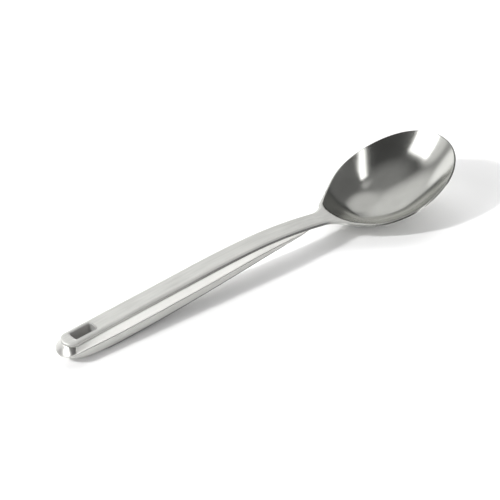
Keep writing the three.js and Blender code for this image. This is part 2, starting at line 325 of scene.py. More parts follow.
class ShapeTree(NodeMaker):
    """A geometry node tree with named inputs, built here and turned into a plain mesh."""

    def __init__(self, name: str) -> None:
        """Starts an empty tree that gives one geometry.

        Args:
            name: The tree's name.
        """
        super().__init__(bpy.data.node_groups.new(name, "GeometryNodeTree"))
        self.tree.interface.new_socket("Geometry", in_out="OUTPUT", socket_type="NodeSocketGeometry")
        self.entry = self.tree.nodes.new("NodeGroupInput")
        self.values: dict[str, Any] = {}

    def take(self, name: str, kind: str, value: Any = None) -> Socket:
        """Adds a named input.

        Args:
            name: The input's name.
            kind: The type of its socket.
            value: What the modifier sets it to, where it is not the geometry itself.

        Returns:
            The socket that gives the input inside the tree.
        """
        item = self.tree.interface.new_socket(name, in_out="INPUT", socket_type=kind)
        if value is not None:
            self.values[item.identifier] = value
        return self.entry.outputs[name]

    def take_number(self, name: str, value: float) -> Field:
        """Adds a named input for a number and gives it as a field."""
        return Field(self, self.take(name, "NodeSocketFloat", value))

    def take_sizes(self, sizes: Any) -> SimpleNamespace:
        """Adds an input for every size of a dataclass.

        Args:
            sizes: A dataclass whose fields are lengths or plain numbers.

        Returns:
            The sizes as fields, under their own names.
        """
        taken = SimpleNamespace()
        for size in fields(sizes):
            words = size.name.replace("_", " ").capitalize()
            setattr(taken, size.name, self.take_number(words, float(getattr(sizes, size.name))))
        return taken

    def at_index(self, value: Socket, index: Amount) -> Socket:
        """Vector that another point of the same geometry has.

        Args:
            value: The vector as each point gives it.
            index: Number of the other point.

        Returns:
            The other point's vector.
        """
        inputs = {"Value": value, "Index": index}
        made = self.node("GeometryNodeFieldAtIndex", inputs, data_type="FLOAT_VECTOR", domain="POINT")
        return self.open_socket(made.outputs, "Value")

    def moved(self, geometry: Socket, **place: Socket) -> Socket:
        """Geometry with its points set to a position or moved by an offset."""
        inputs = {"Geometry": geometry} | {name.capitalize(): way for name, way in place.items()}
        return self.result("GeometryNodeSetPosition", inputs)

    def merged(self, geometry: Socket) -> Socket:
        """Geometry with its doubled points merged."""
        inputs = {"Geometry": geometry, "Distance": MERGE_DISTANCE}
        return self.result("GeometryNodeMergeByDistance", inputs)

    def with_attribute(self, geometry: Socket, name: str, value: Amount) -> Socket:
        """Geometry with a named number stored on its points."""
        inputs = {"Geometry": geometry, "Name": name, "Value": value}
        return self.result("GeometryNodeStoreNamedAttribute", inputs, data_type="FLOAT", domain="POINT")

    def rounded_rectangle(self, width: Amount, height: Amount, radius: Amount, steps: int) -> Socket:
        """Rectangle with round corners, as a curve about the origin.

        Args:
            width: Its width.
            height: Its height.
            radius: Radius of its corners.
            steps: Points added at each corner.

        Returns:
            The curve.
        """
        plan = {"Width": width, "Height": height}
        square = self.result("GeometryNodeCurvePrimitiveQuadrilateral", plan)
        rounding = {"Curve": square, "Count": steps, "Radius": radius}
        return self.result("GeometryNodeFilletCurve", rounding, mode="POLY")

    def swept(self, path: Socket, profile: Socket) -> Socket:
        """Mesh of a profile that is carried along a path."""
        return self.result("GeometryNodeCurveToMesh", {"Curve": path, "Profile Curve": profile})

    def end(self, geometry: Socket, material: bpy.types.Material) -> None:
        """Closes the tree: instances made real, and the material set.

        Args:
            geometry: What the tree gives.
            material: The finish of the piece.
        """
        finish = self.take("Finish", "NodeSocketMaterial", material)
        real = self.result("GeometryNodeRealizeInstances", {0: geometry})
        dressed = self.result("GeometryNodeSetMaterial", {"Geometry": real, "Material": finish})
        self.node("NodeGroupOutput", {0: dressed})

    def plain_mesh(self, name: str, base: Optional[bpy.types.Mesh] = None) -> bpy.types.Mesh:
        """Evaluates the tree once.

        Args:
            name: The name of the mesh.
            base: The mesh that the tree starts from, if it takes one.

        Returns:
            The result as a plain mesh, shaded smooth between its sharp edges.
        """
        holder = linked(name + "_holder", base or bpy.data.meshes.new(name + "_base"))
        modifier = holder.modifiers.new("Shape", "NODES")
        modifier.node_group = self.tree
        for identifier, value in self.values.items():
            modifier[identifier] = value
        graph = bpy.context.evaluated_depsgraph_get()
        seen = holder.evaluated_get(graph)
        mesh = bpy.data.meshes.new_from_object(seen, preserve_all_data_layers=True, depsgraph=graph)
        holder.modifiers.remove(modifier)
        bpy.data.objects.remove(holder)
        mesh.name = name
        mesh.shade_smooth()
        mesh.set_sharp_from_angle(angle=SHARP_ANGLE)
        return mesh


@dataclass(frozen=True)
class SheetSizes:
    """Sizes of the pressed sheet: plan, side view, hollow and thickness."""

    overall_length: float = 320 * MM
    bowl_width: float = 77.2 * MM
    bowl_length: float = 100 * MM
    bowl_front_length: float = 48.8 * MM
    bowl_front_power: float = 2.1
    bowl_rear_reach: float = 61.6 * MM
    shoulder_blend: float = 6 * MM
    butt_width: float = 14 * MM
    neck_width: float = 14.3 * MM
    strip_start: float = 3.4 * MM
    strip_end_length: float = 6.5 * MM
    butt_height: float = 13.75 * MM
    crest_height: float = 22.05 * MM
    crest_blend: float = 46 * MM
    crest_rise: float = 1.65 * MM
    neck_length: float = 67.5 * MM
    root_height: float = 14.2 * MM
    root_fall: float = 0.2
    sag_length: float = 27.5 * MM
    sag_drop: float = 0.35 * MM
    sag_slope: float = 0.335
    tip_rise: float = 24.2 * MM
    tip_slope: float = 0.42
    bowl_depth: float = 17.6 * MM
    bowl_fullness: float = 2.4
    root_wall_length: float = 7 * MM
    shoulder_band: float = 3.5 * MM
    shoulder_length: float = 5 * MM
    strip_thickness: float = 2.4 * MM
    bowl_thickness: float = 1.4 * MM
    thinning_length: float = 34 * MM
    edge_round: float = 0.6 * MM
    rim_lean: float = 0.8 * MM
    strip_edge_round: float = 2 * MM

    @property
    def origin(self) -> float:
        """Station of the model's origin, halfway along the spoon."""
        return self.overall_length / 2


class SheetRule:
    """The rule that gives the sheet's shape, on numbers and on fields alike."""

    def __init__(self, sizes: Any) -> None:
        """Keeps the sizes and works out the stations that follow from them.

        Args:
            sizes: The sizes of the sheet, as numbers or as fields.
        """
        self.sizes = sizes
        self.widest_x = sizes.overall_length - sizes.bowl_front_length
        self.root_x = sizes.overall_length - sizes.bowl_length
        self.crest_x = self.root_x - sizes.neck_length
        self.straight_end_x = self.crest_x - sizes.crest_blend
        rise = sizes.crest_height - sizes.crest_rise - sizes.butt_height
        self.handle_slope = rise / (self.straight_end_x - sizes.strip_start)
        self.bowl_half = sizes.bowl_width / 2

    def inset(self) -> "SheetRule":
        """Rule of the same sheet with its plan outline moved in to where the edge's rounding starts.

        Returns:
            The narrower rule; its heights aren't meant to be read.
        """
        names = [size.name for size in fields(SheetSizes)]
        inner = SimpleNamespace(**{name: getattr(self.sizes, name) for name in names})
        strip_inset = inner.strip_edge_round
        bowl_inset = inner.edge_round + inner.rim_lean
        for name in ("overall_length", "bowl_length", "bowl_front_length"):
            setattr(inner, name, getattr(inner, name) - bowl_inset)
        inner.bowl_width = inner.bowl_width - 2.0 * bowl_inset
        inner.butt_width = inner.butt_width - 2.0 * strip_inset
        inner.neck_width = inner.neck_width - 2.0 * strip_inset
        inner.strip_end_length = inner.strip_end_length - strip_inset
        inner.strip_start = inner.strip_start + strip_inset
        return SheetRule(inner)

    def top_line(self, x: Amount) -> Amount:
        """Height of the middle line of strip and rim.

        Args:
            x: Station from the nose.

        Returns:
            The height, along a chain of cubic pieces.
        """
        s = self.sizes
        knots = [
            (s.strip_start, s.butt_height, self.handle_slope),
            (self.straight_end_x, s.crest_height - s.crest_rise, self.handle_slope),
            (self.crest_x, s.crest_height, 0.0),
            (self.root_x, s.root_height, s.root_fall * -1.0),
            (self.root_x + s.sag_length, s.root_height - s.sag_drop, s.sag_slope),
            (s.overall_length, s.root_height + s.tip_rise, s.tip_slope),
        ]
        height: Amount = 0.0
        for number, ((ax, az, a_slope), (bx, bz, b_slope)) in enumerate(zip(knots, knots[1:])):
            span = bx - ax
            t = (x - ax) / span
            bend = span * t * (1.0 - t) * ((1.0 - t) * a_slope - t * b_slope)
            piece = between(az, bz, gentle(t)) + bend
            height = piece if number == 0 else between(height, piece, beyond(x, ax))
        return height

    def strip_half(self, x: Amount) -> Amount:
        """Half width of the strip, without its round end."""
        taper = eased(x, self.sizes.strip_start, self.root_x)
        return between(self.sizes.butt_width, self.sizes.neck_width, taper) / 2.0

    def outline_half(self, x: Amount) -> Amount:
        """Half width of the whole sheet in plan.

        Args:
            x: Station from the nose.

        Returns:
            Half of the width there.
        """
        s = self.sizes
        front = share(x, self.widest_x, s.bowl_front_length)
        rest = larger(1.0 - power(front, s.bowl_front_power), 0.0)
        bowl_front = self.bowl_half * power(rest, 1.0 / s.bowl_front_power)
        angle = smaller((self.widest_x - x) / s.bowl_rear_reach * (math.pi / 2), math.pi)
        strip, bowl = self.strip_half(x), self.bowl_half * cosine(angle)
        near = larger(s.shoulder_blend - magnitude(strip - bowl), 0.0)
        width = larger(strip, bowl) + near * near / (4.0 * s.shoulder_blend)
        end = 1.0 - share(x, s.strip_start, s.strip_end_length)
        rear = width * power(larger(1.0 - end * end, 0.0), 0.5)
        return between(rear, bowl_front, beyond(x, self.widest_x))

    def hollow_depth(self, x: Amount, y: Amount) -> Amount:
        """Depth of the bowl's hollow below the rim line.

        Args:
            x: Station from the nose.
            y: Distance from the middle plane.

        Returns:
            The depth, nought on the strip.
        """
        s = self.sizes
        band = s.shoulder_band * (1.0 - share(x, self.root_x, s.shoulder_length))
        half = self.outline_half(x) - band
        inside = larger(half * half - y * y, 0.0) / (self.bowl_half * self.bowl_half)
        depth = s.bowl_depth * (1.0 - power(larger(1.0 - inside, 0.0), s.bowl_fullness / 2.0))
        closed = 1.0 - share(x, self.root_x, s.root_wall_length)
        return depth * (1.0 - closed * closed)

    def thickness(self, x: Amount) -> Amount:
        """Thickness of the sheet, thinner in the bowl.

        Args:
            x: Station from the nose.

        Returns:
            The thickness there.
        """
        start = self.root_x - self.sizes.thinning_length / 2.0
        thinned = eased(x, start, start + self.sizes.thinning_length)
        return between(self.sizes.strip_thickness, self.sizes.bowl_thickness, thinned)

    def top_height(self, x: Amount, y: Amount) -> Amount:
        """Height of the top of the sheet."""
        return self.top_line(x) - self.hollow_depth(x, y)


def resting_sizes(sizes: SheetSizes, tip_margin: float = 5 * MM, tries: int = 400) -> SheetSizes:
    """Sizes with the root crease at the height where the bowl touches the table.

    Args:
        sizes: Sizes with any height of the root crease.
        tip_margin: Length at the tip that can't touch the table.
        tries: Stations at which the underside is looked at.

    Returns:
        The same sizes with the height put right.
    """
    low = replace(sizes, root_height=0.0)
    rule = SheetRule(low)
    places = np.linspace(rule.root_x, low.overall_length - tip_margin, tries)
    heights = rule.top_height(places, 0.0)
    slopes = np.gradient(heights, places)
    under = heights - rule.thickness(places) / np.hypot(1, slopes)
    return replace(sizes, root_height=-float(under.min()))


class Easing(Enum):
    """How stations are spread over a stretch."""

    EVEN = "even"
    OPENING = "close together at its start"
    CLOSING = "close together at its end"


@dataclass(frozen=True)
class Stretch:
    """A stretch of stations along the spoon."""

    start: Amount
    end: Amount
    steps: int
    easing: Easing = Easing.EVEN

    def reach(self, row: Amount, first_row: int) -> Amount:
        """How far the stretch has carried the station by a row.

        Args:
            row: Number of the row.
            first_row: Row at which the stretch starts.

        Returns:
            Distance gone within the stretch.
        """
        t = share(row, float(first_row), float(self.steps))
        quarter = t * (math.pi / 2)
        if self.easing is Easing.OPENING:
            t = 1.0 - cosine(quarter)
        elif self.easing is Easing.CLOSING:
            t = sine(quarter)
        return (self.end - self.start) * t


def stations(stretches: Sequence[Stretch], row: Amount) -> Amount:
    """Station of a row.

    Args:
        stretches: Stretches that follow each other.
        row: Number of the row, or several.

    Returns:
        Distance from the nose.
    """
    x, done = stretches[0].start, 0
    for stretch in stretches:
        x = x + stretch.reach(row, done)
        done += stretch.steps
    return x


@dataclass(frozen=True)
class SlotSizes:
    """Sizes of the hanging slot and of the tube that lines it."""

    centre: float = 18.4 * MM
    length: float = 15.6 * MM
    width: float = 7.6 * MM
    corner: float = 1.8 * MM
    wall: float = 0.8 * MM
    gap: float = 0.08 * MM
    lip_round: float = 0.38 * MM
    cut_height: float = 60 * MM


def slot_path(tree: ShapeTree, slot: Any, margin: Amount, corner_steps: int = 8) -> Socket:
    """Rounded rectangle that stands a margin outside the slot, as a curve about the origin."""
    length, width = slot.length + 2.0 * margin, slot.width + 2.0 * margin
    return tree.rounded_rectangle(length, width, slot.corner + margin, corner_steps)


def cut_for_slot(tree: ShapeTree, geometry: Socket, slot: Any, origin: float) -> Socket:
    """Geometry with the slot cut through it, with room for the sleeve.

    Args:
        tree: The tree that gets the nodes.
        geometry: What is cut.
        slot: Sizes of the slot, as fields.
        origin: Station of the model's origin.

    Returns:
        The cut geometry.
    """
    path = slot_path(tree, slot, slot.wall + slot.gap)
    face = tree.result("GeometryNodeFillCurve", {"Curve": path})
    low = tree.vector(slot.centre - origin, 0.0, slot.cut_height * -0.5)
    floor = tree.result("GeometryNodeTransform", {"Geometry": face, "Translation": low})
    push = {"Mesh": floor, "Offset": tree.vector(0.0, 0.0, slot.cut_height), "Individual": False}
    raised = tree.result("GeometryNodeExtrudeMesh", push, mode="FACES")
    under = tree.result("GeometryNodeFlipFaces", {"Mesh": floor})
    both = tree.result("GeometryNodeJoinGeometry", {0: [raised, under]})
    parts = {"Mesh 1": geometry, "Mesh 2": [tree.merged(both)]}
    return tree.result("GeometryNodeMeshBoolean", parts, operation="DIFFERENCE", solver="EXACT")


class SteelNodes(NodeMaker):
    """A steel material in the making: noise, grain and relief on the piece's own coordinates."""

    def __init__(self, name: str) -> None:
        """Starts a metal surface.

        Args:
            name: The material's name.
        """
        self.material = bpy.data.materials.new(name)
        super().__init__(bare_tree(self.material))
        self.surface = self.node("ShaderNodeBsdfPrincipled", {"Metallic": 1.0})
        self.node("ShaderNodeOutputMaterial", {"Surface": self.surface.outputs[0]})
        self.place = self.node("ShaderNodeTexCoord").outputs["Object"]

    def attribute(self, name: str) -> Field:
        """Number that the mesh of the piece carries under a name."""
        return Field(self, self.node("ShaderNodeAttribute", attribute_name=name).outputs["Fac"])

    def dress(self, name: str, value: Any) -> None:
        """Sets one input of the surface, by its name."""
        self.feed(self.surface.inputs[name], value)

    def noise(self, per_metre: PerMetre, detail: float = FINE_DETAIL) -> Field:
        """Noise with a count of features per metre along each axis.

        Args:
            per_metre: Features per metre along X, Y and Z.
            detail: Finer layers of the noise.

        Returns:
            The noise, from nought to one.
        """
        spread = self.result("ShaderNodeMapping", {"Vector": self.place, "Scale": per_metre})
        inputs = {"Vector": spread, "Scale": 1.0, "Detail": detail, "Roughness": NOISE_ROUGHNESS}
        return Field(self, self.result("ShaderNodeTexNoise", inputs))

    def ramp(self, amount: Field, low: Colour, high: Colour) -> Socket:
        """Colour between two, by an amount from about a quarter to three quarters.

        Args:
            amount: What picks the colour.
            low: Colour at a quarter.
            high: Colour at three quarters.

        Returns:
            The colour.
        """
        made = self.node("ShaderNodeValToRGB", {0: amount})
        for stop, colour, position in zip(made.color_ramp.elements, (low, high), RAMP_ENDS):
            stop.color = (*colour, 1.0)
            stop.position = position
        return made.outputs[0]

    def blend(self, first: Socket, second: Socket, amount: Field) -> Socket:
        """Colour between two colours, by an amount from nought to one."""
        inputs = {"Factor": amount, "A": first, "B": second}
        return self.open_socket(self.node("ShaderNodeMix", inputs, data_type="RGBA").outputs, "Result")

    def relief(self, height: Field, depth: float) -> None:
        """Gives the surface a relief of a depth in metres, by a height from nought to one."""
        inputs = {"Strength": 1.0, "Distance": depth, "Height": height}
        self.dress("Normal", self.result("ShaderNodeBump", inputs))


@dataclass(frozen=True)
class SatinSheetSteel:
    """Satin steel of the sheet, brushed lengthwise on the strip and finer in the bowl."""

    name: str = "satin_sheet_steel"
    satin_dark: Colour = (0.51, 0.51, 0.488)
    satin_light: Colour = (0.67, 0.67, 0.642)
    polished_dark: Colour = (0.6, 0.601, 0.57)
    polished_light: Colour = (0.68, 0.681, 0.648)
    # Painted shade: a near-black tone on the strip's side and the rim's side, standing in for the shade
    # in the seam under the strip and under the rim.
    edge_shade_dark: Colour = (0.1, 0.1, 0.095)
    edge_shade_light: Colour = (0.2, 0.198, 0.19)
    strip_roughness: float = 0.48
    bowl_roughness: float = 0.145
    strip_metal: float = 0.5
    brush_share: float = 0.65
    spread: float = 0.12
    strip_relief: float = 0.004 * MM
    bowl_relief: float = 0.0015 * MM
    lines_per_metre: PerMetre = (18.0, 2400.0, 2400.0)
    grain_per_metre: PerMetre = (900.0, 900.0, 900.0)
    clouds_per_metre: PerMetre = (45.0, 60.0, 60.0)
    streaks_per_metre: PerMetre = (14.0, 650.0, 650.0)

    def material(self) -> bpy.types.Material:
        """Makes the material; it reads from its own attributes how polished the sheet is and where
        painted shade darkens its edges.

        Returns:
            The material.
        """
        steel = SteelNodes(self.name)
        polish, sheared = steel.attribute("polish"), steel.attribute("sheared")
        lines = steel.noise(self.lines_per_metre)
        satin = steel.noise(self.grain_per_metre)
        cloud = steel.noise(self.clouds_per_metre, SOFT_DETAIL)
        streaks = steel.noise(self.streaks_per_metre, SOFT_DETAIL)
        grain = between(lines, satin, polish)
        brushed = between(cloud, streaks, self.brush_share)
        satin_tone = steel.ramp(brushed, self.satin_dark, self.satin_light)
        polished_tone = steel.ramp(cloud, self.polished_dark, self.polished_light)
        # Painted shade tone for the edges.
        edge_shade_tone = steel.ramp(satin, self.edge_shade_dark, self.edge_shade_light)
        finished = steel.blend(satin_tone, polished_tone, polish)
        steel.dress("Base Color", steel.blend(finished, edge_shade_tone, sheared))
        steel.dress("Metallic", between(self.strip_metal, 1.0, polish))
        base = between(self.strip_roughness, self.bowl_roughness, polish)
        uneven = (grain + cloud - 1.0) * self.spread
        steel.dress("Roughness", base + base * uneven * 2.0)
        shallower = between(1.0, self.bowl_relief / self.strip_relief, polish)
        steel.relief(grain * shallower, self.strip_relief)
        return steel.material


@dataclass(frozen=True)
class BrushedSteel:
    """Bright steel brushed lengthwise, matt where its own attributes say so, with painted shade in the
    crease groove and painted contact shadow along the keel.
    """

    name: str = "brushed_shell_steel"
    dark: Colour = (0.66, 0.655, 0.63)
    light: Colour = (0.75, 0.745, 0.72)
    roughness: float = 0.3
    spread: float = 0.15
    relief: float = 0.003 * MM
    lines_per_metre: PerMetre = (15.0, 2600.0, 2600.0)
    clouds_per_metre: PerMetre = (50.0, 70.0, 70.0)
    anisotropy: float = 0.35
    metal: float = 1.0
    matt_metal: float = 0.45
    matt_roughness: float = 0.5
    # Painted shade and painted contact shadow: a dark tone for the groove under the crease and for the
    # keel's corner.
    worn_dark: Colour = (0.14, 0.139, 0.134)
    worn_light: Colour = (0.24, 0.238, 0.23)

    def material(self) -> bpy.types.Material:
        """Makes the material, with its gloss spread across the brush lines.

        Returns:
            The material.
        """
        steel = SteelNodes(self.name)
        matt, worn = steel.attribute("matt"), steel.attribute("worn")
        lines = steel.noise(self.lines_per_metre)
        cloud = steel.noise(self.clouds_per_metre, SOFT_DETAIL)
        bright_tone = steel.ramp(cloud, self.dark, self.light)
        # Painted shade: the dark tone is blended in where the groove and the keel are in shade.
        painted_shade_tone = steel.ramp(lines, self.worn_dark, self.worn_light)
        steel.dress("Base Color", steel.blend(bright_tone, painted_shade_tone, worn))
        steel.dress("Metallic", between(self.metal, self.matt_metal, matt))
        uneven = (lines + cloud - 1.0) * (2.0 * self.spread * self.roughness)
        steel.dress("Roughness", uneven + between(self.roughness, self.matt_roughness, matt))
        steel.dress("Anisotropic", self.anisotropy)
        steel.dress("Tangent", steel.result("ShaderNodeTangent", direction_type="RADIAL", axis="X"))
        steel.relief(lines, self.relief)
        return steel.material


@dataclass(frozen=True)
class BrazeMetal:
    """Filler metal as it cooled: warm, dull and lumpy."""

    name: str = "braze_filler"
    dark: Colour = (0.46, 0.43, 0.36)
    light: Colour = (0.62, 0.59, 0.51)
    roughness: float = 0.5
    spread: float = 0.1
    relief: float = 0.05 * MM
    lumps_per_metre: PerMetre = (700.0, 900.0, 900.0)
    stains_per_metre: PerMetre = (90.0, 140.0, 140.0)

    def material(self) -> bpy.types.Material:
        """Makes the material, stained and lumpy.

        Returns:
            The material.
        """
        steel = SteelNodes(self.name)
        lumps = steel.noise(self.lumps_per_metre)
        stains = steel.noise(self.stains_per_metre, SOFT_DETAIL)
        steel.dress("Base Color", steel.ramp(stains, self.dark, self.light))
        steel.dress("Roughness", lumps * (2.0 * self.spread) + (self.roughness - self.spread))
        steel.relief(lumps, self.relief)
        return steel.material


def add_piece(name: str, mesh: bpy.types.Mesh, node: str) -> bpy.types.Object:
    """Puts a finished mesh in the scene in place of a solid.

    Args:
        name: Name of the piece.
        mesh: Its mesh, in place.
        node: Solid that it stands for.

    Returns:
        The piece.
    """
    piece = linked(name, mesh)
    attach(piece, BODY)
    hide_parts(node)
    return piece


@dataclass
class SpoonSheet:
    """Bowl, neck and strip, pressed from one sheet."""

    sizes: SheetSizes
    slot: SlotSizes
    finish: SatinSheetSteel = SatinSheetSteel()
    across_steps: int = 72
    edge_steps: int = 14
    rim_squareness: float = 0.75
    rim_blend: float = 25 * MM
    dome_turn: float = 0.5
    side_turn: float = 2 / 7
    dome_angle: float = 33.0
    dome_drop: float = 0.35
    # Painted shade along the strip's side, lighter at the butt, fading out at the root, and along the
    # rim's side past the root.
    butt_edge_shade: float = 0.35
    edge_shade_margin: float = 0.01
    edge_shade_fade: float = 14 * MM
    edge_shade_end: float = 2 * MM
    rim_shade: float = 0.5
    rim_shade_start: float = 2.5 * MM
    rim_shade_end: float = 32 * MM
    polish_depth: float = 0.4 * MM
    polish_facing: float = 0.2
    under_polish_length: float = 30 * MM

    def stretches(self, rule: SheetRule) -> list[Stretch]:
        """Stretches of stations, close together at the round ends and at the root crease.

        Args:
            rule: Rule with the outline moved in.

        Returns:
            The stretches in order.
        """
        sizes = rule.sizes
        end = sizes.strip_start + sizes.strip_end_length
        root_start = rule.root_x - sizes.root_wall_length / 2.0
        root_end = rule.root_x + sizes.root_wall_length
        return [
            Stretch(sizes.strip_start, end, steps=20, easing=Easing.OPENING),
            Stretch(end, rule.crest_x, steps=50),
            Stretch(rule.crest_x, root_start, steps=36),
            Stretch(root_start, root_end, steps=40),
            Stretch(root_end, rule.widest_x, steps=36),
            Stretch(rule.widest_x, sizes.overall_length, steps=56, easing=Easing.CLOSING),
        ]

    def edge_profile(self, rule: SheetRule, x: Field, turned: Field) -> tuple[Field, Field]:
        """Profile of the edge: domed over a straight side on the strip, evenly round on the bowl's rim.

        Args:
            rule: Rule of the sheet.
            x: Station from the nose.
            turned: How far the profile has turned, from the top to the underside.

        Returns:
            Share of the thickness gone down, and how far the edge stands out.
        """
        sizes, lean = rule.sizes, math.radians(self.dome_angle)
        dome = share(turned, 0.0, self.dome_turn) * lean
        side = share(turned, self.dome_turn, self.side_turn)
        under = share(turned, self.dome_turn + self.side_turn, 1.0 - self.dome_turn - self.side_turn)
        dome_down = (1.0 - cosine(dome)) * (self.dome_drop / (1.0 - math.cos(lean)))
        strip_down = dome_down + side * (1.0 - self.dome_drop)
        strip_out = sine(dome) * (1.0 / math.sin(lean)) - under
        height = cosine(turned * math.pi)
        rim_down = (1.0 - sign(height) * power(magnitude(height), self.rim_squareness)) / 2.0
        rim_out = power(larger(sine(turned * math.pi), 0.0), self.rim_squareness)
        rim = self.rim_share(rule, x)
        stand_out = between(strip_out * sizes.strip_edge_round, rim_out * sizes.edge_round, rim)
        return between(strip_down, rim_down, rim), stand_out

    def rim_share(self, rule: SheetRule, x: Field) -> Field:
        """How far the strip's edge has turned into the bowl's rim."""
        return eased(x, rule.root_x - self.rim_blend / 4, rule.root_x + self.rim_blend)

    def sheared(self, rule: SheetRule, x: Field, turned: Field) -> Field:
        """How dark the painted shade makes the edge: the strip's side, most of all at the neck, and the
        rim's side.

        Args:
            rule: Rule of the sheet.
            x: Station from the nose.
            turned: How far the edge's profile has turned.

        Returns:
            The share of the painted shade.
        """
        side_start = self.dome_turn - self.edge_shade_margin
        side_end = self.dome_turn + self.side_turn + self.edge_shade_margin
        on_side = beyond(turned, side_start) - beyond(turned, side_end)
        along = between(self.butt_edge_shade, 1.0, eased(x, rule.crest_x / 4, rule.crest_x))
        along = along * (1.0 - eased(x, rule.root_x - self.edge_shade_fade, rule.root_x + self.edge_shade_end))
        past_root = x - rule.root_x
        rim = eased(past_root, self.rim_shade_start, 2 * self.rim_shade_start) * self.rim_shade
        rim = rim * (1.0 - eased(past_root, self.rim_shade_end / 2, self.rim_shade_end))
        return on_side * larger(along, rim)

    def tree(self) -> ShapeTree:
        """Builds the node tree of the sheet: its top first, then the underside and the edge.

        Returns:
            The tree.
        """
        tree = ShapeTree("Spoon sheet")
        sizes = tree.take_sizes(self.sizes)
        slot = tree.take_sizes(self.slot)
        rule = SheetRule(sizes)
        inner = rule.inset()
        stretches = self.stretches(inner)
        rows = sum(stretch.steps for stretch in stretches) + 1
        across_steps, edge_steps = self.across_steps, self.edge_steps
        loop = 2 * (across_steps + edge_steps) + 1
        grid = tree.result("GeometryNodeMeshGrid", {"Vertices X": rows, "Vertices Y": loop})
        index = Field(tree, tree.result("GeometryNodeInputIndex"))
        row = whole((index + 0.5) / float(loop))
        place = index - row * float(loop)
        right_edge, back = across_steps, across_steps + edge_steps
        left_edge = back + across_steps
        gone = share(place, 0.0, across_steps) - share(place, float(back), across_steps)
        across = gone * 2.0 - 1.0
        turned = share(place, float(right_edge), edge_steps)
        turned = turned - share(place, float(left_edge), edge_steps)
        x = stations(stretches, row)
        y = across * inner.outline_half(x)
        origin = self.sizes.origin
        folded = tree.moved(grid, position=tree.vector(x - origin, y, rule.top_height(x, y)))

        pole = 1.0 - beyond(row, 0.5) + beyond(row, rows - 1.5)
        inside = smaller(larger(gone * float(across_steps), 1.0), across_steps - 1.0)
        top_place = between(whole(inside + 0.5), across_steps / 2, pole)
        here = row * float(loop)
        normal = tree.at_index(tree.result("GeometryNodeInputNormal"), here + top_place)
        position = tree.result("GeometryNodeInputPosition")
        ahead = tree.at_index(position, smaller(row + 1.0, rows - 1.0) * float(loop) + place)
        behind = tree.at_index(position, larger(row - 1.0, 0.0) * float(loop) + place)
        run_x, run_y, _ = tree.parts(tree.vector_math("SUBTRACT", ahead, behind))
        across_run = tree.vector(run_y * -1.0, run_x * (1.0 - pole), 0.0)
        outward = tree.vector_math("NORMALIZE", across_run)
        down, swell = self.edge_profile(rule, x, turned)
        drop = tree.scaled(normal, down * rule.thickness(x) * -1.0)
        bulge = tree.scaled(outward, swell * sign(across))
        swelled = tree.moved(folded, offset=tree.vector_math("ADD", drop, bulge))
        # Painted shade stored on the points: the dark edge tone on the strip's side and the rim's side.
        edged = tree.with_attribute(swelled, "sheared", self.sheared(rule, x, turned))
        cut = cut_for_slot(tree, tree.merged(edged), slot, origin)

        seen_x, seen_y, _ = tree.parts(position)
        seen_x = seen_x + origin
        facing = tree.parts(tree.result("GeometryNodeInputNormal"))[2]
        inside = eased(rule.hollow_depth(seen_x, seen_y), 0.0, self.polish_depth)
        outside = eased(seen_x, rule.root_x, rule.root_x + self.under_polish_length)
        polish = larger(outside, inside * eased(facing, -self.polish_facing, self.polish_facing))
        tree.end(tree.with_attribute(cut, "polish", polish), self.finish.material())
        return tree

    def build(self) -> bpy.types.Object:
        """Builds the sheet and puts it in the scene."""
        mesh = self.tree().plain_mesh("spoon_sheet")
        return add_piece("spoon_sheet", mesh, "spoon_body")


def stepped(start: Points, end: Points, size: float, reach: float) -> Points:
    """Step from one row of points towards another.

    Args:
        start: Points that the step leaves.
        end: Points that it heads for.
        size: Length of the step.
        reach: Share of the way that it may not go beyond.

    Returns:
        The step at each point.
    """
    way = end - start
    length = np.maximum(np.linalg.norm(way, axis=1, keepdims=True), LEAST_LENGTH)
    return way * np.minimum(size / length, reach)


@dataclass(frozen=True)
class ShellRow:
    """Points of the handle shell along its length, with how matt the steel is there and how much
    painted shade darkens it.
    """

    points: Points
    matt: float = 0.0
    worn: Union[float, np.ndarray] = 0.0

    def mirrored(self) -> "ShellRow":
        """The same row on the other side of the handle."""
        return ShellRow(self.points * MIRROR, self.matt, self.worn)


@dataclass(frozen=True)
class ShellLine:
    """A line that carries the handle shell, with a round nose."""

    start: float
    nose: float
    half: Callable[[np.ndarray], np.ndarray]
    height: Callable[[np.ndarray], np.ndarray]


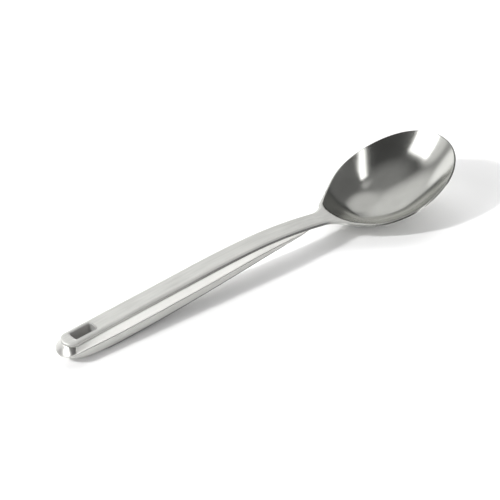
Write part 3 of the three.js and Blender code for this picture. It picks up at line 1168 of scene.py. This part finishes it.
@dataclass
class HandleShell:
    """Hollow pressed shell under the strip: lip, crease and keel lines with flanks between them."""

    sizes: SheetSizes
    slot: SlotSizes
    finish: BrushedSteel = BrushedSteel()
    wall: float = 1 * MM
    nose_length: float = 7.5 * MM
    flank_flare: float = 2.4 * MM
    flare_fade: float = 100 * MM
    bow_inset: float = 0.7 * MM
    crease_share: float = 0.31
    nose_crease_share: float = 0.72
    corner_crease_share: float = 0.37
    crease_settle: float = 14 * MM
    butt_keel_width: float = 17.2 * MM
    bow_keel_width: float = 10.5 * MM
    keel_tuck: float = 5.5 * MM
    keel_nose_length: float = 14 * MM
    keel_nose_rise: float = 2.6 * MM
    keel_sag: float = 1.3 * MM
    pad_start: float = 33 * MM
    pad_length: float = 7 * MM
    bow_setback: float = 16 * MM
    bow_round: float = 16 * MM
    bow_solid_length: float = 20 * MM
    bow_depth: float = 0.5 * MM
    lip_round: float = 0.6 * MM
    crease_round: float = 0.8 * MM
    keel_round: float = 1 * MM
    groove_width: float = 1.2 * MM
    groove_depth: float = 0.5 * MM
    # Painted contact shadow along the keel's corner, fading out towards the raised nose.
    keel_shade_start: float = 24 * MM
    keel_shade_full: float = 34 * MM
    corner_reach: float = 0.4
    seam_gap: float = 0.3 * MM
    nose_steps: int = 28
    straight_steps: int = 110
    bow_steps: int = 14
    flank_steps: int = 6
    corner_steps: int = 6
    rule: SheetRule = field(init=False)
    bow_x: float = field(init=False)

    def __post_init__(self) -> None:
        """Works out the sheet's rule and the station of the bow."""
        self.rule = SheetRule(self.sizes)
        self.bow_x = self.rule.root_x - self.bow_setback

    def lip_height(self, x: np.ndarray) -> np.ndarray:
        """Height of the lip, a seam's gap below the strip.

        Args:
            x: Stations from the nose.

        Returns:
            The heights there.
        """
        step = 0.1 * MM
        slope = (self.rule.top_line(x + step) - self.rule.top_line(x - step)) / (2 * step)
        under = self.rule.top_line(x) - self.sizes.strip_thickness * np.hypot(1, slope)
        return under - self.seam_gap

    def keel_height(self, x: np.ndarray) -> np.ndarray:
        """Height of the keel: up to the nose, flat on its pad, then up to the bow with a slight sag.

        Args:
            x: Stations from the nose.

        Returns:
            The heights there.
        """
        pad_end = self.pad_start + self.pad_length
        nose = self.keel_nose_rise * (self.pad_start - x) / (self.pad_start - self.keel_tuck)
        climb = (self.lip_height(np.array(self.bow_x)) - self.bow_depth) / (self.bow_x - pad_end)
        along = share(x, pad_end, self.bow_x - pad_end)
        sag = self.keel_sag / HUMP_PEAK * along * (1 - along) ** 2
        return np.where(x < self.pad_start, nose, np.maximum(x - pad_end, 0) * climb - sag)

    def keel_half(self, x: np.ndarray) -> np.ndarray:
        """Half width of the keel, which tapers evenly from the butt to the bow."""
        along = share(x, self.keel_tuck, self.bow_x - self.keel_tuck)
        return between(self.butt_keel_width, self.bow_keel_width, along) / 2

    def towards_bow(self, x: np.ndarray) -> np.ndarray:
        """How far the shell has gone from its full section to its bow."""
        return eased(x, self.bow_x - self.flare_fade, self.bow_x)

    def crease_height(self, x: np.ndarray) -> np.ndarray:
        """Height of the crease: low at the nose, higher round its corner, then settled.

        Args:
            x: Stations from the nose.

        Returns:
            The heights there.
        """
        round_nose = 1 - (1 - share(x, 0.0, self.nose_length)) ** 2
        part = between(self.nose_crease_share, self.corner_crease_share, round_nose)
        part = between(part, self.crease_share, eased(x, self.nose_length / 2, self.crease_settle))
        return between(self.lip_height(x), self.keel_height(np.maximum(x, self.keel_tuck)), part)

    def lines(self) -> tuple[ShellLine, ShellLine, ShellLine]:
        """The three lines that carry the shell.

        Returns:
            Lip, crease and keel.
        """
        strip, bow = self.rule.strip_half, self.towards_bow
        gap, inset = self.seam_gap, self.bow_inset
        lip = ShellLine(
            self.sizes.strip_start + gap,
            self.sizes.strip_end_length,
            lambda x: strip(x) - between(gap, inset, bow(x)),
            self.lip_height,
        )
        crease = ShellLine(
            0.0,
            self.nose_length,
            lambda x: strip(x) + between(self.flank_flare, -inset, bow(x)),
            self.crease_height,
        )
        keel = ShellLine(
            self.keel_tuck,
            self.keel_nose_length,
            self.keel_half,
            self.keel_height,
        )
        return lip, crease, keel

    def line_points(self, line: ShellLine, inset: float, end: float, lift: float = 0.0) -> Points:
        """Points along one side of a line, from the nose round to the bow.

        Args:
            line: The line.
            inset: How far the line moves in.
            end: Station of its bow end.
            lift: How far the line is raised.

        Returns:
            One point for each row, in the model's own frame.
        """
        first = line.start + inset
        nose = np.linspace(0, math.pi / 2, self.nose_steps + 1)
        bow = np.linspace(0, math.pi / 2, self.bow_steps + 1)
        straight = np.linspace(first + line.nose, end - self.bow_round, self.straight_steps + 1)[1:-1]
        round_nose = first + line.nose * (1 - np.cos(nose))
        round_bow = end - self.bow_round * (1 - np.sin(bow))
        x = np.concatenate([round_nose, straight, round_bow])
        part = np.concatenate([np.sin(nose), np.ones_like(straight), np.cos(bow)])
        y = part * (line.half(x) - inset)
        return np.column_stack([x - self.sizes.origin, y, line.height(x) + lift])

    def rounded(self, before: Points, corner: Points, after: Points, size: float) -> list[Points]:
        """Rows of points that round a corner.

        Args:
            before: Neighbours on one side.
            corner: The corner's own points.
            after: Neighbours on the other side.
            size: How far from the corner the rounding starts.

        Returns:
            The rounding, point by point.
        """
        first = corner + stepped(corner, before, size, self.corner_reach)
        last = corner + stepped(corner, after, size, self.corner_reach)
        turns = np.linspace(0, 1, self.corner_steps + 1)
        return [(1 - t) ** 2 * first + 2 * t * (1 - t) * corner + t * t * last for t in turns]

    def groove(self, crease: Points, keel: Points, ends: Sequence[Points]) -> list[Points]:
        """Rows of the fine groove under the crease, which runs out at the nose and at the bow.

        Args:
            crease: Points of the crease.
            keel: Points of the keel.
            ends: Where the crease's rounding ends, and the crease moved in by the depth of the groove.

        Returns:
            The groove's bottom and its lower edge.
        """
        edge, moved_in = ends
        x = crease[:, :1] + self.sizes.origin
        fade = eased(x, self.nose_length / 2, 1.5 * self.nose_length)
        fade = fade * (1 - eased(x, self.bow_x - 2 * self.bow_round, self.bow_x - self.bow_round))
        step = stepped(edge, keel, self.groove_width, self.corner_reach / 2)
        return [edge + step / 2 + (moved_in - crease) * fade, edge + step]

    def section(self, inset: float, end: float) -> list[ShellRow]:
        """Rows round the hull, from one lip down over the keel to the other lip.

        Args:
            inset: How far the hull moves in.
            end: Station of its bow end.

        Returns:
            One row of points for each place round the section.
        """
        lip_line, crease_line, keel_line = self.lines()
        lip = self.line_points(lip_line, inset, end)
        crease = self.line_points(crease_line, inset, end)
        keel = self.line_points(keel_line, inset, end, inset)
        seat = self.line_points(lip_line, inset + self.wall, end)
        lip_turn = self.rounded(seat, lip, crease, self.lip_round)
        crease_turn = self.rounded(lip, crease, keel, self.crease_round)
        keel_turn = self.rounded(crease, keel, keel * MIRROR, self.keel_round)
        moved_in = self.line_points(crease_line, inset + self.groove_depth, end)
        groove = self.groove(crease, keel, (crease_turn[-1], moved_in))
        spread = np.linspace(0, 1, self.flank_steps + 1)
        upper = [between(lip_turn[-1], crease_turn[0], t) for t in spread[1:-1]]
        lower = [between(groove[-1], keel_turn[0], t) for t in spread[1:-1]]
        lip_rows = lip_turn if inset == 0 else [lip]
        half = [ShellRow(points) for points in lip_rows + upper + crease_turn]
        # Painted shade in the groove under the crease.
        half += [ShellRow(groove[0], matt=1.0, worn=1.0), ShellRow(groove[1], matt=1.0)]
        half += [ShellRow(points, matt=1.0) for points in lower]
        # Painted contact shadow on the keel's rounded corner.
        keel_shade = eased(keel[:, 0] + self.sizes.origin, self.keel_shade_start, self.keel_shade_full)
        half += [ShellRow(points, matt=1.0, worn=keel_shade) for points in keel_turn]
        under = [between(keel_turn[-1], keel_turn[-1] * MIRROR, t) for t in spread[1:-1]]
        flat = [ShellRow(points, matt=1.0) for points in under]
        return half + flat + [row.mirrored() for row in reversed(half)]

    def loft(self) -> bpy.types.Mesh:
        """Closed mesh of the hollow shell: outside, lip and inside.

        Returns:
            The mesh, before the slot is cut.
        """
        outside = self.section(0.0, self.bow_x)
        inside = self.section(self.wall, self.bow_x - self.bow_solid_length)
        loop = outside + inside[::-1]
        around = np.array([row.points for row in loop])
        count, rows = around.shape[:2]
        j, i = np.meshgrid(np.arange(count), np.arange(rows - 1), indexing="ij")
        k = (j + 1) % count
        corners = [j * rows + i, j * rows + i + 1, k * rows + i + 1, k * rows + i]
        quads = np.stack(corners, axis=-1).reshape(-1, 4)
        mesh = bpy.data.meshes.new("handle_shell_loft")
        mesh.from_pydata(around.reshape(-1, 3).tolist(), [], quads.tolist())
        for name in ("matt", "worn"):
            values = np.concatenate([np.broadcast_to(getattr(row, name), rows) for row in loop])
            mesh.attributes.new(name, "FLOAT", "POINT").data.foreach_set("value", values)
        return mesh

    def tree(self) -> ShapeTree:
        """Builds the node tree that closes the loft and cuts the slot.

        Returns:
            The tree.
        """
        tree = ShapeTree("Handle shell")
        loft = tree.take("Geometry", "NodeSocketGeometry")
        slot = tree.take_sizes(self.slot)
        cut = cut_for_slot(tree, tree.merged(loft), slot, self.sizes.origin)
        tree.end(cut, self.finish.material())
        return tree

    def build(self) -> bpy.types.Object:
        """Builds the shell and puts it in the scene."""
        mesh = self.tree().plain_mesh("hull_shell", self.loft())
        return add_piece("hull_shell", mesh, "handle_shell")


@dataclass
class SlotSleeve:
    """Rectangular tube that lines the hanging slot."""

    shell: HandleShell
    slot: SlotSizes
    finish: BrushedSteel = BrushedSteel(
        name="drawn_sleeve_steel",
        dark=(0.47, 0.466, 0.455),
        light=(0.56, 0.556, 0.545),
        roughness=0.36,
        lines_per_metre=(2200.0, 2200.0, 60.0),
        anisotropy=0.0,
        metal=0.5,
    )
    corner_steps: int = 6
    lip_steps: int = 4
    profile_height: float = 6 * MM

    def tree(self) -> ShapeTree:
        """Builds the node tree that sweeps the wall round the slot and fits it to strip and keel.

        Returns:
            The tree.
        """
        tree = ShapeTree("Slot sleeve")
        slot = tree.take_sizes(self.slot)
        sheet = tree.take_sizes(self.shell.sizes)
        rise = tree.take_number("Keel rise", self.shell.keel_nose_rise)
        pad = tree.take_number("Pad start", self.shell.pad_start)
        tuck = tree.take_number("Keel tuck", self.shell.keel_tuck)
        path = slot_path(tree, slot, slot.wall / 2.0, self.corner_steps)
        level = tree.result("GeometryNodeSetCurveNormal", {"Curve": path}, mode="Z_UP")
        wall = tree.rounded_rectangle(slot.wall, self.profile_height, slot.lip_round, self.lip_steps)
        tube = tree.swept(level, wall)
        x, y, z = tree.parts(tree.result("GeometryNodeInputPosition"))
        station = x + slot.centre
        half = self.profile_height / 2
        top = SheetRule(sheet).top_line(station) - half
        before_pad = larger(pad - station, 0.0) / (pad - tuck)
        keel = rise * before_pad + half
        height = z + between(keel, top, beyond(z, 0.0))
        place = tree.vector(station - self.shell.sizes.origin, y, height)
        tree.end(tree.moved(tube, position=place), self.finish.material())
        return tree

    def build(self) -> bpy.types.Object:
        """Builds the sleeve and puts it in the scene."""
        mesh = self.tree().plain_mesh("slot_sleeve_tube")
        return add_piece("slot_sleeve_tube", mesh, "slot_sleeve")


@dataclass
class SeamBraze:
    """Bead of filler metal inside the seam between strip and shell."""

    shell: HandleShell
    finish: BrazeMetal = BrazeMetal()
    bead: float = 0.42 * MM
    ring_points: int = 10
    ripple: float = 0.06 * MM
    ripples_per_metre: float = 350.0
    seed: float = 7.0

    def path(self) -> bpy.types.Mesh:
        """Closed path of the bead, along the inside of the lip.

        Returns:
            A mesh of edges.
        """
        shell = self.shell
        inset = shell.wall + shell.seam_gap + self.bead + self.ripple
        end = shell.bow_x - shell.bow_solid_length - inset
        lip = shell.lines()[0]
        side = shell.line_points(lip, inset, end, -self.bead)
        ring = np.concatenate([side, side[-2:0:-1] * MIRROR])
        edges = [(i, (i + 1) % len(ring)) for i in range(len(ring))]
        mesh = bpy.data.meshes.new("seam_path")
        mesh.from_pydata(ring.tolist(), edges, [])
        return mesh

    def tree(self) -> ShapeTree:
        """Builds the node tree that sweeps the bead and ripples it.

        Returns:
            The tree.
        """
        tree = ShapeTree("Seam braze")
        edges = tree.take("Geometry", "NodeSocketGeometry")
        bead = tree.take_number("Bead", self.bead)
        ripple = tree.take_number("Ripple", self.ripple)
        seed = tree.take_number("Seed", self.seed)
        path = tree.result("GeometryNodeMeshToCurve", {0: edges})
        section = {"Resolution": self.ring_points, "Radius": bead}
        sweep = tree.swept(path, tree.result("GeometryNodeCurvePrimitiveCircle", section))
        inputs = {"W": seed, "Scale": self.ripples_per_metre}
        noise = Field(tree, tree.result("ShaderNodeTexNoise", inputs, noise_dimensions="4D"))
        normal = tree.result("GeometryNodeInputNormal")
        rippled = tree.moved(sweep, offset=tree.scaled(normal, (noise - 0.5) * ripple * 2.0))
        tree.end(rippled, self.finish.material())
        return tree

    def build(self) -> bpy.types.Object:
        """Builds the bead and puts it in the scene."""
        mesh = self.tree().plain_mesh("seam_bead", self.path())
        return add_piece("seam_bead", mesh, "seam_braze")


@dataclass(frozen=True)
class PhotoCamera:
    """Camera at the photograph's viewing angle, held by one point and the pixel where it shows."""

    azimuth: float = -39.7
    elevation: float = 34.4
    focal_pixels: float = 2000.0
    frame_pixels: float = 500.0
    sensor: float = 36.0
    anchor: tuple[float, float, float] = (-157.03 * MM, 0.0, 14.17 * MM)
    anchor_pixel: tuple[float, float] = (62.0, 341.5)
    distance: float = 1207.8 * MM
    clip_start: float = 50 * MM

    def build(self) -> None:
        """Makes the camera and gives it to the scene."""
        a, e = math.radians(self.azimuth), math.radians(self.elevation)
        back = Vector((math.sin(a) * math.cos(e), -math.cos(a) * math.cos(e), math.sin(e)))
        right = Vector((math.cos(a), math.sin(a), 0))
        up = back.cross(right)
        centre = self.frame_pixels / 2
        shift_x = (self.anchor_pixel[0] - centre) / self.focal_pixels
        shift_y = (self.anchor_pixel[1] - centre) / self.focal_pixels
        ray = right * shift_x - up * shift_y - back
        data = bpy.data.cameras.new("photo_camera")
        data.sensor_width = self.sensor
        data.lens = self.focal_pixels / self.frame_pixels * self.sensor
        data.clip_start = self.clip_start
        camera = linked("photo_camera", data)
        turn = Matrix((right, up, back)).transposed().to_4x4()
        camera.matrix_world = Matrix.Translation(Vector(self.anchor) - ray * self.distance) @ turn
        bpy.context.scene.camera = camera


@dataclass(frozen=True)
class SoftPanel:
    """A soft light panel that faces the spoon, given by the way to it and the angles it fills."""

    name: str
    azimuth: float
    elevation: float
    width: float
    height: float
    level: float
    roll: float = 0.0
    distance: float = 5.0

    def build(self, target: Vector) -> None:
        """Makes the lamp.

        Args:
            target: Point that the panel faces.
        """
        data = bpy.data.lights.new(self.name, "AREA")
        data.shape = "RECTANGLE"
        data.size = 2 * self.distance * math.tan(math.radians(self.width / 2))
        data.size_y = 2 * self.distance * math.tan(math.radians(self.height / 2))
        data.energy = self.level * math.pi * data.size * data.size_y
        lamp = linked(self.name, data)
        away = direction(self.azimuth, self.elevation)
        turn = away.to_track_quat("Z", "Y").to_matrix().to_4x4()
        turn = turn @ Matrix.Rotation(math.radians(self.roll), 4, "Z")
        lamp.matrix_world = Matrix.Translation(target + away * self.distance) @ turn


@dataclass(frozen=True)
class RoomGlow:
    """A soft bright patch of the room, given by the way to it and the angles where it fades."""

    azimuth: float
    elevation: float
    full: float
    fade: float
    level: float

    def brightness(self, maker: NodeMaker, way: Socket) -> Field:
        """How bright the patch makes the room.

        Args:
            maker: Maker of the room's nodes.
            way: Direction that is looked in.

        Returns:
            The brightness there.
        """
        middle = direction(self.azimuth, self.elevation)
        dot = maker.node("ShaderNodeVectorMath", {0: way, 1: middle}, operation="DOT_PRODUCT")
        near = Field(maker, dot.outputs["Value"])
        dark, full = math.cos(math.radians(self.fade)), math.cos(math.radians(self.full))
        return eased(near, dark, full) * self.level


@dataclass
class Studio:
    """Pale floor, soft panels and a dim room that the camera sees as white."""

    floor_size: float = 16.0
    floor_level: float = -0.02 * MM
    floor_colour: Colour = (0.9, 0.9, 0.9)
    floor_glow: float = 0.05
    fill: float = 0.2
    back_fill: RoomGlow = RoomGlow(38, 32, 15, 50, 3.62)
    dim: float = 0.078
    horizon: float = 0.25
    horizon_full: float = 0.12
    horizon_fade: float = 0.4
    # Azimuth, elevation, angle of full light, angle where it ends, level.
    glows: tuple[RoomGlow, ...] = (
        RoomGlow(15, 36, 8, 38, 1.0),
        RoomGlow(50, 55, 12, 27, 0.8),
        RoomGlow(-6, 12, 5, 20, 1.5),
        RoomGlow(-42, 29, 8, 21, 1.0),
        RoomGlow(10, 78, 10, 38, 0.33),
        RoomGlow(110, 55, 20, 48, 0.2),
        RoomGlow(5, 0, 25, 60, 0.55),
        RoomGlow(-133, 33, 6, 15, 0.6),
        RoomGlow(108, 80.5, 2, 9, 0.68),
    )
    # Name, azimuth, elevation, width, height, level, roll.
    panels: tuple[SoftPanel, ...] = (
        SoftPanel("key_core", -70.5, 34.5, 5, 6, 250.0),
        SoftPanel("key_panel", -61, 41, 33, 22, 2.2, 25),
        SoftPanel("overhead_panel", 169.8, 60.5, 7, 33, 2.4, -22),
        SoftPanel("flank_panel", 155, 20, 44, 36, 1.3),
        SoftPanel("nose_panel", -87, 22, 26, 28, 1.8),
    )

    def rays(self, maker: NodeMaker, *kinds: str) -> Field:
        """One for rays of the given kinds, and nought for others.

        Args:
            maker: Maker of the nodes.
            kinds: Kinds of ray, in the words of the Light Path node.

        Returns:
            One or nought.
        """
        path = maker.node("ShaderNodeLightPath")
        seen: Amount = 0.0
        for kind in kinds:
            seen = larger(seen, Field(maker, path.outputs[f"Is {kind} Ray"]))
        return seen

    def floor(self) -> None:
        """Makes the floor, which keeps the shadow and is lifted to white where it is seen."""
        half = self.floor_size / 2
        mesh = bpy.data.meshes.new("studio_floor")
        corners = [(-half, -half), (half, -half), (half, half), (-half, half)]
        mesh.from_pydata([(*corner, self.floor_level) for corner in corners], [], [(0, 1, 2, 3)])
        material = bpy.data.materials.new("floor_paper")
        maker = NodeMaker(bare_tree(material))
        paper = maker.result("ShaderNodeBsdfDiffuse", {"Color": (*self.floor_colour, 1.0)})
        seen = self.rays(maker, "Camera", "Glossy", "Transmission")
        glow = maker.result("ShaderNodeEmission", {"Strength": seen * self.floor_glow})
        both = maker.result("ShaderNodeAddShader", {0: paper, 1: glow})
        maker.node("ShaderNodeOutputMaterial", {"Surface": both})
        mesh.materials.append(material)
        floor = linked("studio_floor", mesh)
        floor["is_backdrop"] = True

    def room(self) -> None:
        """Makes the room: white to the camera, dim with bright patches to steel, a fill to the rest."""
        world = bpy.data.worlds.new("studio_room")
        bpy.context.scene.world = world
        maker = NodeMaker(bare_tree(world))
        way = maker.node("ShaderNodeTexCoord").outputs["Generated"]
        height = maker.parts(way)[2]
        shown = between(self.horizon, self.dim, eased(height, self.horizon_full, self.horizon_fade))
        for glow in self.glows:
            shown = larger(shown, glow.brightness(maker, way))
        fill = self.back_fill.brightness(maker, way) + self.fill
        level = between(fill, shown, self.rays(maker, "Glossy", "Transmission"))
        level = between(level, 1.0, self.rays(maker, "Camera"))
        glow = maker.result("ShaderNodeBackground", {"Strength": level})
        maker.node("ShaderNodeOutputWorld", {"Surface": glow})

    def build(self, target: Vector) -> None:
        """Makes the floor, the room and the panels.

        Args:
            target: Point that the panels face.
        """
        self.floor()
        self.room()
        for panel in self.panels:
            panel.build(target)
        bpy.context.scene.view_settings.view_transform = "Standard"


def main() -> None:
    """Builds the spoon piece by piece, and the studio round it."""
    logging.basicConfig(level=logging.INFO, format="%(name)s: %(message)s")
    cad_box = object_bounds()
    PhotoCamera().build()
    sizes, slot = resting_sizes(SheetSizes()), SlotSizes()
    shell = HandleShell(sizes, slot)
    for assembly in (SpoonSheet(sizes, slot), shell, SlotSleeve(shell, slot), SeamBraze(shell)):
        piece = assembly.build()
        LOG.info("%s: %d faces", piece.name, len(piece.data.polygons))
    Studio().build((cad_box[0] + cad_box[1]) / 2)


if __name__ == "__main__":
    main()
